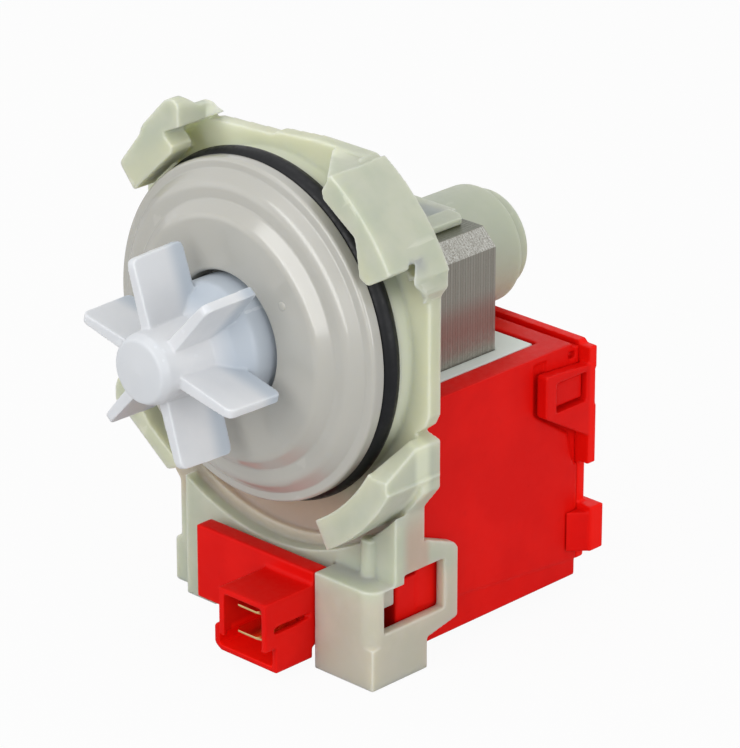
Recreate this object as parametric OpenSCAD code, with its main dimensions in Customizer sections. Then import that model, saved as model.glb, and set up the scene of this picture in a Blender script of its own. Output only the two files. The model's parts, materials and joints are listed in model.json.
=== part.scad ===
// Washer drain pump. Millimetres. The shaft runs along Y with the impeller at -Y, Z is up,
// and the origin is on the shaft axis at the front of the disc's rim.

/* [Front cover] */
// Radius of the disc's rim, which enters the sump
rim_r = 31; // [28:0.5:34]
// Width of the rim's outer wall along the shaft
rim_w = 1.6; // [1.2:0.1:2.4]
// How far the plateau stands in front of the rim
plateau_h = 5.6; // [4:0.2:7]
// Radius of the flat plateau
plateau_r = 22; // [18:0.5:23]
// Height of the ring step between plateau and rim
step_h = 3.2; // [2.4:0.1:3.8]
// Outer radius of the ring step
step_r = 26.6; // [25.6:0.2:27.6]
// Height of the flat land on the rim
land_h = 0.9; // [0.6:0.1:1.4]
// Wall of the disc
cover_wall = 1.8; // [1.2:0.1:2.4]
// Length of the bearing tube behind the disc's floor
hub_len = 11.5; // [10.5:0.1:12]

/* [Impeller] */
// Radius over the blade tips
blade_r = 19; // [16:0.5:22]
// Number of blades
blade_count = 6; // [4:1:8]
// Length of a blade along the shaft
blade_len = 11.8; // [9:0.2:13]
// Thickness of a blade at its root
blade_root_t = 2.6; // [2:0.1:3.4]
// Thickness of a blade at its tip
blade_tip_t = 1.7; // [1.2:0.1:2]
// Gap from the rear edge of the blades to the plateau
blade_gap = 5; // [4:0.2:7]
// Angle of the first blade
blade_turn = 48; // [0:1:59]
// Radius of the hub's nose
nose_r = 6.4; // [5:0.1:7]
// How far the nose stands in front of the blades
nose_len = 4.2; // [3:0.1:5]
// Outer radius of the bell behind the blades
bell_r = 11.4; // [10.4:0.1:12.4]
// Wall of the bell
bell_wall = 1.8; // [1.4:0.1:2.2]
// Radial gap between bell and disc
bell_gap = 0.8; // [0.5:0.1:1.4]

/* [Rotor] */
// Radius of the shaft
shaft_r = 2; // [1.5:0.1:2.5]
// Radius of the magnet
magnet_r = 8.4; // [7.4:0.1:9]
// Length of the magnet
magnet_len = 28; // [22:0.5:30]
// Wall of the sleeve round the magnet
sleeve_wall = 0.6; // [0.4:0.1:0.9]
// Thickness of each end of the sleeve
sleeve_end = 1.2; // [0.8:0.1:1.6]
// Thickness of a thrust washer
washer_t = 0.6; // [0.4:0.1:0.9]
// Radius of a thrust washer
washer_r = 4.2; // [3.6:0.1:5]
// Radius of a bearing bush
bearing_r = 4.4; // [4:0.1:5]
// Length of a bearing bush
bearing_len = 5; // [4:0.2:6]
// Wall of the rubber mount round a bearing
mount_wall = 1.9; // [1.4:0.1:2.2]
// Length of the shaft seal
seal_len = 3.2; // [2.4:0.1:3.6]

/* [Drive dog] */
// Radius that the dog's arm reaches
dog_reach = 7.9; // [7:0.1:8.4]
// Radius of the dog's hub
dog_hub_r = 3.4; // [3:0.1:4]
// Width of the dog's arm
dog_arm_w = 3.4; // [2.6:0.1:4]
// Length of the dog along the shaft
dog_len = 3.8; // [3:0.1:4.4]
// Wall of the rubber buffer on the arm
buffer_wall = 1.6; // [1:0.1:1.8]
// Width of the stop rib inside the bell
stop_w = 3.2; // [2.4:0.1:4]
// Thickness of the retaining disc
retainer_t = 1.4; // [1:0.1:1.8]

/* [Rotor can] */
// Radial gap between sleeve and can
air_gap = 0.6; // [0.4:0.05:0.9]
// Length of the rotor's rear neck, up to the thrust washer
sleeve_neck = 5.4; // [4:0.1:7]
// Wall of the can
can_wall = 1.4; // [1.1:0.1:1.8]
// Radius of the can's collar in the flange
collar_r = 14; // [13.4:0.1:15.5]
// Thickness of the can's rear wall
can_end = 2.4; // [1.6:0.1:3.2]
// Radius of the can's rounded rear edge
can_round = 1; // [0.5:0.1:1.5]
// Radius of the stub behind the can, round the rear bearing
stub_r = 9.5; // [8.6:0.1:10]
// Length of the stub
stub_len = 3.4; // [2:0.1:4.5]
// Half the width of the saddle rib on the core
saddle_half_w = 14.2; // [12:0.2:16]
// Thickness of the saddle rib
saddle_t = 1.4; // [1:0.1:2]
// How far the saddle rib runs past the core
saddle_over = 1.6; // [0.8:0.1:3]

/* [Sealing ring] */
// Cord diameter of the sealing ring
cord_d = 4; // [3.4:0.1:4.4]
// How far the sealing ring stands proud of the rim
ring_proud = 0.95; // [0.6:0.05:1.3]

/* [Mounting flange] */
// Distance from the rim to the plate's raised front face
plate_y = 7.5; // [7:0.1:8.5]
// Thickness of the plate at its raised front face
plate_t = 4.5; // [4:0.1:5.5]
// Distance from the rim to the apron's front face, below the disc
apron_y = 4.7; // [4:0.1:6]
// Radius of the apron's upper edge
apron_r = 41.4; // [41:0.1:43]
// Depth of the round pocket
pocket_depth = 1.5; // [0.8:0.1:1.8]
// Radial gap between hooks and rim
hook_gap = 3.8; // [3:0.1:4.6]
// Radial width of a hook's lip
hook_w = 5.6; // [5:0.1:7]
// Wall of a hook
hook_wall = 2; // [1.6:0.1:2.4]
// How far the lips stand in front of the rim
lip_front = 1.5; // [1:0.1:2.5]
// Thickness of a lip along the shaft
lip_t = 5; // [4:0.1:5.6]
// Half the width of the plate
plate_half_w = 34.5; // [33.5:0.1:36]
// Height of the plate's flat top above the shaft
plate_top = 34.6; // [33.8:0.1:35.6]
// Wall of the spigot under the sealing ring
spigot_wall = 2.4; // [1.8:0.1:2.8]
// Height of the shoulder behind the sealing ring
shoulder_h = 2.8; // [2:0.1:3.4]

/* [Feet and snap loop] */
// Depth of the feet below the shaft
foot_z = 59; // [57.8:0.1:62]
// Distance from the shaft to the flange's right side
side_x = 30.8; // [30.6:0.1:32]
// Width of the right foot box
foot_w = 14.2; // [13:0.1:15]
// Height of the right foot box
foot_h = 18.6; // [18:0.1:19]
// Front of the foot box, in front of the rim
foot_front = 1; // [0.6:0.1:1.6]
// Height of the square block at the foot's base
foot_block_h = 8; // [5:0.2:9]
// Depth of the foot box along the shaft
foot_d = 13.9; // [13.4:0.1:15]
// Distance from the shaft to the left leg's side
leg_x = 25.7; // [24:0.1:27]
// How far the left foot steps out from its leg
leg_step = 1.5; // [0.5:0.1:2.5]
// Width of the left foot
leg_w = 13.4; // [9:0.1:13.6]
// Wall of the snap loop
loop_wall = 2.2; // [1.8:0.1:2.3]
// How far the snap loop reaches behind the plate
loop_len = 8.6; // [8:0.1:9.6]
// Height of the window in the snap loop
window_h = 9.5; // [7:0.1:10.5]
// Depth of the window's lower edge below the shaft
window_z = 48.8; // [48:0.1:50]
// Width of the bar round the window
loop_bar = 3.5; // [3:0.1:4.2]

/* [Stator core] */
// Half the width of the core
core_half_w = 20; // [18.5:0.1:21]
// Front of the core, behind the rim
core_y = 21.3; // [21:0.1:23]
// Thickness of the stack of laminations
stack = 20; // [16:0.5:21]
// Height of the poles above the shaft
pole_top = 12.4; // [12.2:0.1:14]
// Depth of the poles below the shaft
pole_low = 13.4; // [13:0.1:14]
// Chamfer on the poles' outer corners
pole_chamfer = 3.1; // [1:0.1:4]
// Width of a leg
leg_core_w = 11.6; // [10:0.1:12.4]
// Half the slot between the poles
pole_slot = 2.2; // [2:0.1:3]
// Gap between can and poles
pole_gap = 0.3; // [0.2:0.05:0.5]
// Depth of the legs' lower ends below the shaft
core_leg_z = 42.2; // [41:0.1:43]
// Height of the yoke
yoke_h = 11.8; // [10.6:0.1:12]

/* [Coils] */
// Wall of a bobbin
bobbin_wall = 1.1; // [0.8:0.1:1.4]
// Thickness of a bobbin's flanges
bobbin_flange = 1.3; // [1:0.1:1.6]
// Gap between the bobbins' flanges and the housing's side
bobbin_side_gap = 0.25; // [0.15:0.05:0.5]
// Height of the collar in the housing's opening
bobbin_collar = 3.3; // [2.6:0.1:3.4]
// How far the flanges stand out past the winding
flange_over = 0.6; // [0.3:0.1:1.5]
// Radius of the wires to the tabs
lead_r = 0.5; // [0.3:0.05:0.6]
// Radius of the thermal protector
protector_r = 2; // [1.5:0.1:2.5]
// Length of the thermal protector
protector_len = 12; // [8:0.5:14]

/* [Coil housing] */
// Half the width of the housing
housing_half_w = 28.3; // [28.2:0.1:28.5]
// Depth of the housing's floor below the shaft
housing_z = 55.9; // [55.8:0.1:57]
// Length of the housing
housing_len = 41.8; // [40:0.1:44]
// Wall of the housing
housing_wall = 1.5; // [1:0.1:1.5]
// Width of the rim beside the core's opening
opening_rim = 4.9; // [4:0.1:5.4]
// Length of the core's opening
opening_len = 33.8; // [33.6:0.1:36]
// Thickness of the rear cover
rear_t = 2.1; // [1.6:0.1:3]
// How far the rear cover stops above the housing's floor
rear_short = 3; // [1:0.1:5]
// How far the rear cover's lugs stand out
lug_out = 2.4; // [1:0.1:4]
// Wall of the rear cover's snap loops
latch_wall = 2.3; // [1.8:0.1:2.6]
// Length of the rear cover's snap loops
latch_len = 11.4; // [9:0.2:13]

/* [Plug socket] */
// Width of the socket's hood
hood_w = 11.5; // [11:0.1:12]
// Length of the hood in front of the back plate
hood_len = 11.6; // [9:0.1:14]
// Height of the hood above its tray
hood_h = 9.1; // [8.6:0.1:9.6]
// Wall of the hood
hood_wall = 1.2; // [1:0.1:1.4]
// Height of the tray below the hood
tray_h = 5; // [3:0.1:5.4]
// Length of the tray in front of the back plate
tray_len = 9; // [6:0.1:9.4]
// How far the tray is wider than the hood on its left
tray_side = 3.9; // [2:0.1:5]
// Width of the back plate
back_w = 29.2; // [27:0.1:29.6]
// Thickness of the back plate
back_t = 3.7; // [3:0.1:4.4]
// Height of the back plate
back_h = 14.2; // [13.6:0.1:14.4]
// Pitch of the tabs
tab_pitch = 5; // [4.8:0.1:5.2]
// Width of a tab
tab_w = 6.3; // [4.8:0.1:7]
// Thickness of a tab
tab_t = 0.8; // [0.5:0.1:1]
// How far the tabs' ends lie inside the hood
tab_inset = 1.2; // [0.8:0.1:4]
// Height of the lower tab above the tray
tab_low = 1.1; // [0.9:0.1:1.6]

/* [Hidden] */
// Gap between a piece and its seat within one body
seat = 0.05;
// Gap of a running fit round the shaft
run_gap = 0.05;
// Gap between pieces that clear each other
clear = 0.3;
round_fn = 96;
small_fn = 48;
eps = 0.02;

cream = [0.82, 0.84, 0.74];
pearl = [0.80, 0.78, 0.74];
white = [0.90, 0.92, 0.95];
red = [0.86, 0.09, 0.07];
steel = [0.66, 0.66, 0.66];
black = [0.10, 0.10, 0.11];
copper = [0.72, 0.42, 0.22];
brass = [0.80, 0.66, 0.32];

// Sealing ring and spigot
ring_out = rim_r + ring_proud;
spigot_r = ring_out - cord_d - seat;
ring_major = ring_out - cord_d / 2;
ring_y = rim_w + seat + cord_d / 2;
spigot_in = spigot_r - spigot_wall;

// Disc
well_r = bell_r + bell_gap;
well_out = well_r + cover_wall;
plug_r = spigot_in - seat;
mount_r = bearing_r + seat + mount_wall;
hub_in = mount_r + seat;
hub_out = hub_in + cover_wall;

// Impeller, placed from the plateau
blade_y1 = -plateau_h - blade_gap;
blade_y0 = blade_y1 - blade_len;
nose_y = blade_y0 - nose_len;
bell_y1 = -2.6;
cavity_y = bell_y1 - 10.4;
cavity_r = bell_r - bell_wall;
bell_corner = 3.8;
shaft_y0 = cavity_y - 7;
dog_y0 = cavity_y + bell_corner - 1.2;
dog_y1 = dog_y0 + dog_len;
retainer_y0 = dog_y1 + 0.4;
stop_r = dog_hub_r + 0.9;

// Can and rotor
sleeve_r = magnet_r + seat + sleeve_wall;
can_in = sleeve_r + air_gap;
can_r = can_in + can_wall;
plate_rear = plate_y + plate_t;
floor_y = plate_y + pocket_depth;
core_y1 = core_y + stack;
magnet_y0 = (core_y + core_y1 - magnet_len) / 2;
sleeve_y0 = magnet_y0 - seat - sleeve_end;
sleeve_y1 = magnet_y0 + magnet_len + seat + sleeve_end;
neck_y1 = sleeve_y1 + sleeve_neck;
rear_bearing_y0 = neck_y1 + 0.3 + washer_t + 0.3;
rear_bearing_y1 = rear_bearing_y0 + bearing_len;
shaft_y1 = rear_bearing_y1 + 0.6;
pocket_y1 = shaft_y1 + 0.8;
can_y1 = pocket_y1 + can_end;
front_bearing_y1 = hub_len - 0.4;
front_bearing_y0 = front_bearing_y1 - bearing_len;
saddle_y1 = core_y1 + saddle_over;
seal_y0 = 0.3;

// Hooks and plate
hook_in = rim_r + hook_gap;
hook_out = hook_in + hook_w;
lip_y1 = lip_t - lip_front;
pocket_r = hook_out - 1;

// Feet
foot_x0 = side_x - foot_w;
foot_top = -foot_z + foot_h;
foot_y1 = foot_d - foot_front;
body_bottom = -foot_z + 14.9;
window_y0 = 2;
window_step_y = 7;

// Core
bore_r = can_r + pole_gap;
core_leg_in = core_half_w - leg_core_w;
yoke_top = -core_leg_z - 0.2;

// Housing, just behind the plate
housing_y0 = plate_rear + 0.7;
housing_y1 = housing_y0 + housing_len;
housing_top = -(pole_low - bobbin_collar);
opening_half_w = housing_half_w - opening_rim;
opening_y0 = housing_y0 + housing_wall + 0.4;
opening_y1 = opening_y0 + opening_len;
rear_y1 = housing_y1 + rear_t;
gutter_r = can_r + clear;

// Bobbins
bobbin_in = core_leg_in - 0.15;
bobbin_outer = core_half_w + 0.15;
bobbin_top = -pole_low - 0.2;
bobbin_low = -core_leg_z + 0.7;
bobbin_out = housing_half_w - housing_wall - bobbin_side_gap - bobbin_outer - bobbin_wall;
winding_t = bobbin_out - flange_over;

// Socket
hood_x1 = foot_x0 - 0.3;
hood_x0 = hood_x1 - hood_w;
back_x1 = foot_x0 - 0.2;
back_x0 = back_x1 - back_w;
back_y0 = -foot_front;
back_y1 = back_y0 + back_t;
back_top = foot_top - 0.2;
back_low = back_top - back_h;
hood_top = back_top - 2.5;
hood_low = hood_top - hood_h;
tab_x = (hood_x0 + hood_x1) / 2;
tab_z = [hood_low + tab_low + tab_pitch, hood_low + tab_low];
tab_y0 = back_y0 - hood_len + tab_inset;
tab_y1 = [housing_y0 + housing_wall + 1.6, housing_y0 + housing_wall + 2.7 + lead_r * 2];
neck_top = body_bottom - clear;
side_neck_top = back_top - 1;
neck_y0 = window_y0 + back_t - 0.2;

// Points of a round corner at p, between its neighbours a and b
function unit(v) = v / norm(v);
function turned(d) = d > 180 ? d - 360 : d < -180 ? d + 360 : d;
function corner(a, p, b, r, n) =
    r <= 0 ? [p] :
    let(
        u = unit(a - p),
        v = unit(b - p),
        half = acos(max(-1, min(1, u * v))) / 2,
        c = p + unit(u + v) * r / sin(half),
        t1 = p + u * r / tan(half) - c,
        t2 = p + v * r / tan(half) - c,
        a1 = atan2(t1[1], t1[0]),
        da = turned(atan2(t2[1], t2[0]) - a1)
    )
    [for (i = [0 : n]) c + r * [cos(a1 + da * i / n), sin(a1 + da * i / n)]];

// An outline of [x, y, corner radius] rows as points with round corners
function softened(rows, n = 4) =
    let(k = len(rows))
    [for (i = [0 : k - 1])
        each corner(
            [rows[(i + k - 1) % k][0], rows[(i + k - 1) % k][1]],
            [rows[i][0], rows[i][1]],
            [rows[(i + 1) % k][0], rows[(i + 1) % k][1]],
            rows[i][2], n)];

function polar(r, a) = [r * cos(a), r * sin(a)];

// A flat outline in X and Z, drawn out along Y
module slab(y0, y1) {
    translate([0, y1, 0]) rotate([90, 0, 0]) linear_extrude(y1 - y0) children();
}

// A flat outline in Y and Z, drawn out along X
module side_slab(x0, x1) {
    translate([x0, 0, 0]) rotate([90, 0, 90]) linear_extrude(x1 - x0) children();
}

// A block between two corners
module block(low, high) {
    translate(low) cube(high - low);
}

// A round bar along the shaft
module rod(r, y0, y1, fn = round_fn) {
    translate([0, y1, 0]) rotate([90, 0, 0]) cylinder(r = r, h = y1 - y0, $fn = fn);
}

// A tube along the shaft
module tube(r_out, r_in, y0, y1, fn = round_fn) {
    difference() {
        rod(r_out, y0, y1, fn);
        rod(r_in, y0 - 1, y1 + 1, fn);
    }
}

// A profile of [radius, y] points turned about the shaft
module spun(profile, fn = round_fn) {
    rotate([-90, 0, 0]) rotate_extrude($fn = fn) polygon(profile);
}

// A slice of a tube between two angles, from X towards Z
module arc_block(r_in, r_out, a0, a1, y0, y1) {
    far = r_out * 1.5;
    intersection() {
        tube(r_out, r_in, y0, y1);
        slab(y0 - 1, y1 + 1) polygon([[0, 0], polar(far, a0), polar(far, (a0 + a1) / 2), polar(far, a1)]);
    }
}

// Outline of the flange's plate with its legs, seen from the front
module plate_outline() {
    right = plate_half_w;
    polygon(softened(concat(
        [
            [-right * 0.51, plate_top - 2.6, 4],
            [-right * 0.77, plate_top * 0.8, 4],
            [-right, plate_top * 0.52, 4],
            [-right, -plate_top * 0.61, 4],
            [-leg_x - 1.4, -pocket_r + 2.4, 1],
            [-leg_x, -pocket_r + 0.8, 1],
            [-leg_x, -foot_z + 9.5, 0.4],
            [-leg_x - leg_step, -foot_z + 8.5, 0.4],
            [-leg_x - leg_step, -foot_z, 0.5],
            [-leg_x - leg_step + leg_w, -foot_z, 0.5],
            [-leg_x - leg_step + leg_w, body_bottom, 0.5],
            [foot_x0, body_bottom, 0.5],
            [foot_x0, -foot_z, 0.3],
            [side_x, -foot_z, 0.3],
            [side_x, -27.6, 1.5],
            [right, -22.8, 1.2],
            [right, -13.9, 0.6],
            [side_x + 0.3, -13.1, 0.2],
            [right - 1, -11.2, 1],
            [right, -9, 1],
            [right, 12.4, 0.6]
        ],
        [for (i = [0 : 4]) concat(polar(hook_out - 0.8, 26 + 32.5 * i / 4), [0])],
        // Top edge, which falls away to the left past a small step
        [
            [19.4, plate_top - 0.15, 1],
            [8, plate_top - 0.15, 3],
            [-2, plate_top - 1.1, 0.2],
            [-2.6, plate_top - 1.7, 0.2]
        ]
    )));
}

// Lower right bayonet hook: a lip in front, a wall outside it and a root at one end, on the plate's floor
module lower_right_hook() {
    rear = plate_rear - 0.5;
    arc_block(hook_in, hook_out, -60, -30, -lip_front, lip_y1);
    arc_block(hook_out - hook_wall, hook_out, -50, -30, lip_y1 - eps, rear);
    arc_block(hook_in, hook_out, -34, -30, lip_y1 - eps, rear);
}

// Upper right hook, whose lip is straight inside, with a slope from its root down to the plate
module upper_right_hook() {
    rear = plate_rear - 0.5;
    far = hook_out * 1.3;
    inner = [
        [hook_in + 1.8, 58.2, 0.3], [hook_in + 0.7, 56.4, 0.4], [hook_in + 1.7, 42.5, 0.3],
        [hook_in + 1.1, 40.6, 0.3], [hook_in - 1.7, 32, 1], [hook_in - 0.3, 29.2, 0.8],
        [hook_in + 4.1, 29.4, 0.4]
    ];
    intersection() {
        rod(hook_out, -lip_front, lip_y1);
        slab(-lip_front - 1, lip_y1 + 1) polygon(softened(concat(
            [concat(polar(far, 58.2), [0])],
            [for (p = inner) concat(polar(p[0], p[1]), [p[2]])],
            [concat(polar(far, 31.2), [0])]
        )));
    }
    arc_block(hook_out - hook_wall, hook_out, 31.2, 58.2, lip_y1 - eps, rear);
    arc_block(hook_in + 1.8, hook_out, 49, 58.2, lip_y1 - eps, rear);
    intersection() {
        slab(-lip_front, plate_y + 1) polygon([
            polar(hook_in + 2, 57.6), polar(hook_out - 0.2, 57.6),
            [12.5, plate_top - 0.3], [12.5, plate_top - 1.6]
        ]);
        translate([0, 0, 20]) linear_extrude(30)
            polygon([
                [12, plate_y + 1.2], [20.8, -lip_front - 0.1],
                [26, -lip_front - 0.1], [26, plate_y + 1.2]
            ]);
    }
}

// Ramp that carries the lower right hook back to the plate, inside the plate's edge
module hook_ramp() {
    side = plate_half_w;
    intersection() {
        slab(-lip_front, plate_rear - 1) polygon([
            polar(hook_in, -33), polar(hook_in, -30.2), [side - 2.6, -13.3], [side - eps, -13.9],
            [side - eps, -21], polar(hook_out - 0.4, -34)
        ]);
        side_slab(hook_in - 8, hook_out + 2) polygon([
            [-lip_front - 1, -18.6],
            [plate_y + 0.6, -12.6],
            [plate_rear, -12.6],
            [plate_rear, -25],
            [-lip_front - 1, -25]
        ]);
    }
}

// Upper left hook: a broad lip, and an outer wall whose top dips on its way back to the plate
module upper_left_hook() {
    end_x = -15.2;
    front = -lip_front;
    lip = [for (p = [
        [-2.05, 142.3, 1], [-1.3, 130, 0.5], [-0.5, 128.3, 0.5], [-0.1, 126.3, 0.5], [1.75, 116.3, 1.5],
        [1.8, 110.8, 1.8], [-3.5, 114.3, 0.3], [-3.2, 121.5, 0.5], [-hook_w - 0.6, 119.7, 0.5],
        [-hook_w - 1.6, 121, 0.5], [-hook_w - 2.1, 141.5, 0.3], [-hook_w - 2.1, 144.4, 0.5]
    ]) concat(polar(hook_out + p[0], p[1]), [p[2]])];
    intersection() {
        union() {
            slab(front, lip_y1) polygon(softened(lip, 3));
            arc_block(hook_out - 3.4, hook_out - 0.3, 112, 131, lip_y1 - eps, plate_rear - 0.5);
        }
        side_slab(-hook_out, end_x) polygon(softened([
            [front - 1, 0, 0], [front - 1, 39.6, 0], [front + 1, 39.4, 1.2], [lip_y1 - 0.2, 36.7, 1.5],
            [plate_y - 1.9, 36.6, 1], [plate_y - 0.3, 36.2, 0.8], [plate_y + 0.8, 34.9, 0.4],
            [plate_rear, plate_top - 2.4, 0], [plate_rear, 0, 0]
        ]));
    }
    arc_block(hook_in - 0.6, hook_out - 2.3, 130.5, 141, lip_y1 - eps, plate_rear - 0.5);
}

module lower_left_hook() {
    outline = [for (p = [
        [-2, -148.6], [-0.8, -145.6], [-2.3, -139], [-3, -121.5], [-4.3, -119.8],
        [-hook_w - 0.6, -118.5], [-hook_w - 0.4, -134], [-hook_w, -150.5], [-3.6, -150.8]
    ]) concat(polar(hook_out + p[0], p[1]), [0.6])];
    slab(-lip_front, lip_y1) polygon(softened(outline, 3));
    arc_block(hook_in - 0.4, hook_out - 3, -129, -119.5, lip_y1 - eps, plate_rear - 0.5);
}

// Right foot with its round front corner, the square block at its base and the snap loop
module right_foot() {
    front = -foot_front;
    translate([0, 0, -foot_z + foot_block_h - eps])
        linear_extrude(foot_h - foot_block_h + eps)
            polygon(softened([
                [foot_x0, front, 0.3],
                [side_x, front, 3],
                [side_x, foot_y1, 0.3],
                [foot_x0, foot_y1, 0.3]
            ], 6));
    block([foot_x0, front, -foot_z], [side_x, foot_y1, -foot_z + foot_block_h]);
}

module snap_loop() {
    rear = plate_rear + loop_len;
    top = -window_z + window_h + loop_bar;
    low = -window_z - loop_bar + 1;
    side_slab(side_x - loop_wall, side_x) polygon(softened([
        [plate_rear - 1, top + 1.4, 0.3],
        [plate_rear + 1, top + 1.4, 0.6],
        [rear - 1, top - 1.2, 0.6],
        [rear, top - 2.4, 0.6],
        [rear, low - 0.2, 0.8],
        [foot_y1, low - 1.8, 0.3],
        [plate_rear - 1, low - 1.8, 0.3]
    ]));
}

module mounting_flange() color(cream) difference() {
    union() {
        difference() {
            slab(plate_y, plate_rear) plate_outline();
            rod(pocket_r, plate_y - 1, floor_y);
        }
        arc_block(hook_in, hook_out, 26, 58.5, floor_y - 0.4, plate_rear);
        // Pocket's end below the upper right hook, level with the plate
        arc_block(hook_in - 0.4, pocket_r + 0.4, 26.3, 31.7, plate_y, floor_y + 0.5);
        rod(spigot_r, rim_w + seat, floor_y + 1);
        rod(spigot_r + shoulder_h, ring_y + cord_d / 2 + seat, floor_y + 1);
        // Apron below the disc, with a half-round rib over the foot
        difference() {
            intersection() {
                slab(apron_y, plate_rear - 0.5) plate_outline();
                block([-leg_x + 4.3, 0, -foot_z - 1], [side_x + 1, plate_rear, -24]);
            }
            rod(apron_r, apron_y - 1, plate_rear + 1);
        }
        translate([24.3, apron_y + 0.5, foot_top - 1]) cylinder(r = 1.7, h = 8, $fn = small_fn);
        upper_right_hook();
        lower_right_hook();
        hook_ramp();
        upper_left_hook();
        lower_left_hook();
        right_foot();
        snap_loop();
    }
    // Chamber behind the disc, and the can's seat
    rod(spigot_in, 0, floor_y);
    rod(collar_r + seat, 0, plate_rear + 1);
    // Windows behind the lips
    arc_block(hook_in + 0.1, hook_out - hook_wall - 0.1, 32, 47, floor_y - 1, plate_rear + 1);
    arc_block(hook_in + 0.1, hook_out - hook_wall - 0.1, -57, -34.5, floor_y - 1, plate_rear + 1);
    arc_block(hook_in + 0.1, hook_out - hook_wall - 0.6, -148, -130.5, floor_y - 1, plate_rear + 1);
    // Small gap that shows below the upper right lip
    slab(plate_y - 1, plate_rear + 1) polygon([
        polar(hook_in - 0.2, 30.6),
        polar(hook_in + 3.1, 30.2),
        polar(hook_in + 1.9, 26.9),
        polar(hook_in + 1, 27.1)
    ]);
    // Way for the housing's neck through the foot and the plate
    difference() {
        block([foot_x0 - 1, window_y0, -foot_z + 3], [side_x - loop_wall, foot_y1 + 1, back_top - 0.3]);
        // Rib left standing behind the window's front edge
        block(
            [side_x - loop_wall - 2, window_y0 - 1, -window_z + 3.2],
            [side_x, neck_y0 - 0.9, back_top + 1]
        );
    }
    block([foot_x0 - 1, plate_rear, -foot_z + 3], [side_x - loop_wall, foot_y1 + 1, back_top + 1.6]);
    // Window in the snap loop, with a step in its upper edge
    side_slab(side_x - loop_wall - 1, side_x + 1) polygon([
        [window_y0, -window_z],
        [plate_rear + loop_len - loop_bar, -window_z],
        [plate_rear + loop_len - loop_bar, -window_z + window_h],
        [window_step_y, -window_z + window_h],
        [window_step_y, -window_z + window_h - 1.7],
        [window_y0, -window_z + window_h - 1.5]
    ]);
}

module rotor_can() color(cream) difference() {
    union() {
        spun(softened([
            [0, floor_y, 0],
            [collar_r, floor_y, 0],
            [collar_r, plate_rear, 0],
            [can_r, plate_rear, 0],
            [can_r, can_y1 - stub_len, can_round],
            [stub_r, can_y1 - stub_len, 0.4],
            [stub_r, can_y1, 1.2],
            [0, can_y1, 0]
        ], 6));
        // Saddle rib over the core, on a web that stands in the slot between the poles
        intersection() {
            block(
                [-saddle_half_w, plate_rear, pole_top + 0.15],
                [saddle_half_w, saddle_y1, pole_top + 0.15 + saddle_t]
            );
            translate([0, 0, pole_top]) linear_extrude(saddle_t + 1) polygon([
                [-saddle_half_w, plate_rear],
                [saddle_half_w, plate_rear],
                [saddle_half_w, saddle_y1 - 2],
                [saddle_half_w - 3, saddle_y1],
                [3 - saddle_half_w, saddle_y1],
                [-saddle_half_w, saddle_y1 - 2]
            ]);
        }
        block([-pole_slot + clear, plate_rear, can_r - 1], [pole_slot - clear, saddle_y1, pole_top + 0.3]);
    }
    rod(can_in, floor_y - 1, neck_y1 + 0.3);
    rod(mount_r + seat, floor_y, pocket_y1);
}

module front_cover() color(pearl) difference() {
    spun(softened([
        [plug_r - cover_wall, floor_y - 0.3, 0],
        [plug_r - cover_wall, rim_w - 0.4, 0.5],
        [plateau_r + 1, -plateau_h + step_h, 1],
        [plateau_r - 0.6, -plateau_h + cover_wall, 0.8],
        [well_out, -plateau_h + cover_wall, 0.4],
        [well_out, cover_wall, 0.4],
        [hub_out, cover_wall, 0.4],
        [hub_out, hub_len, 0.3],
        [hub_in, hub_len, 0],
        [hub_in, 0, 0],
        [well_r, 0, 0],
        [well_r, -plateau_h, 0.6],
        [plateau_r, -plateau_h, 1.2],
        [plateau_r + 2.2, -plateau_h + 2.2, 1],
        [step_r, -step_h, 0.9],
        [step_r + 1.6, -land_h, 0.8],
        [rim_r, -land_h, 0.6],
        [rim_r, rim_w, 0],
        [plug_r, rim_w, 0],
        [plug_r, floor_y - 0.3, 0.3]
    ], 4));
}

module sealing_ring() color(black)
    translate([0, ring_y, 0]) rotate([90, 0, 0])
        rotate_extrude($fn = round_fn) translate([ring_major, 0]) circle(r = cord_d / 2, $fn = small_fn);

module blade(a) {
    rotate([0, -a, 0]) intersection() {
        slab(blade_y0, blade_y1 + 4) polygon([
            [2, -blade_root_t / 2],
            [blade_r, -blade_tip_t / 2],
            [blade_r, blade_tip_t / 2],
            [2, blade_root_t / 2]
        ]);
        translate([0, 0, -3]) linear_extrude(6) polygon(softened([
            [0, blade_y0, 0],
            [blade_r - 0.4, blade_y0, 1.4],
            [blade_r, blade_y1, 1],
            [bell_r - 0.8, blade_y1, 0],
            [cavity_r - 1, blade_y1 + 1.2, 0],
            [0, blade_y1, 0]
        ]));
    }
}

module impeller() color(white) difference() {
    union() {
        spun(softened([
            [0, nose_y, 0],
            [nose_r - 0.7, nose_y + 0.5, 0.8],
            [nose_r, nose_y + 2, 1.2],
            [nose_r + 0.4, cavity_y - 1.4, 1.2],
            [bell_r - 2, cavity_y + 0.8, 2],
            [bell_r, cavity_y + 3.8, 2.5],
            [bell_r, bell_y1, 0.5],
            [0, bell_y1, 0]
        ], 6));
        for (i = [0 : blade_count - 1]) blade(blade_turn + 360 * i / blade_count);
    }
    difference() {
        rod(cavity_r, cavity_y, bell_y1 + 1);
        // Solid front corner of the bell
        spun([
            [cavity_r - bell_corner, cavity_y - 1],
            [cavity_r + 1, cavity_y - 1],
            [cavity_r + 1, cavity_y + bell_corner],
            [cavity_r, cavity_y + bell_corner],
            [cavity_r - bell_corner, cavity_y]
        ]);
        // Stop rib that the dog's buffer meets
        block([-stop_w / 2, cavity_y - 1, -cavity_r - 1], [stop_w / 2, dog_y1, -stop_r]);
    }
    rod(shaft_r + run_gap, shaft_y0 - 0.5, cavity_y + 1, small_fn);
}

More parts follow.
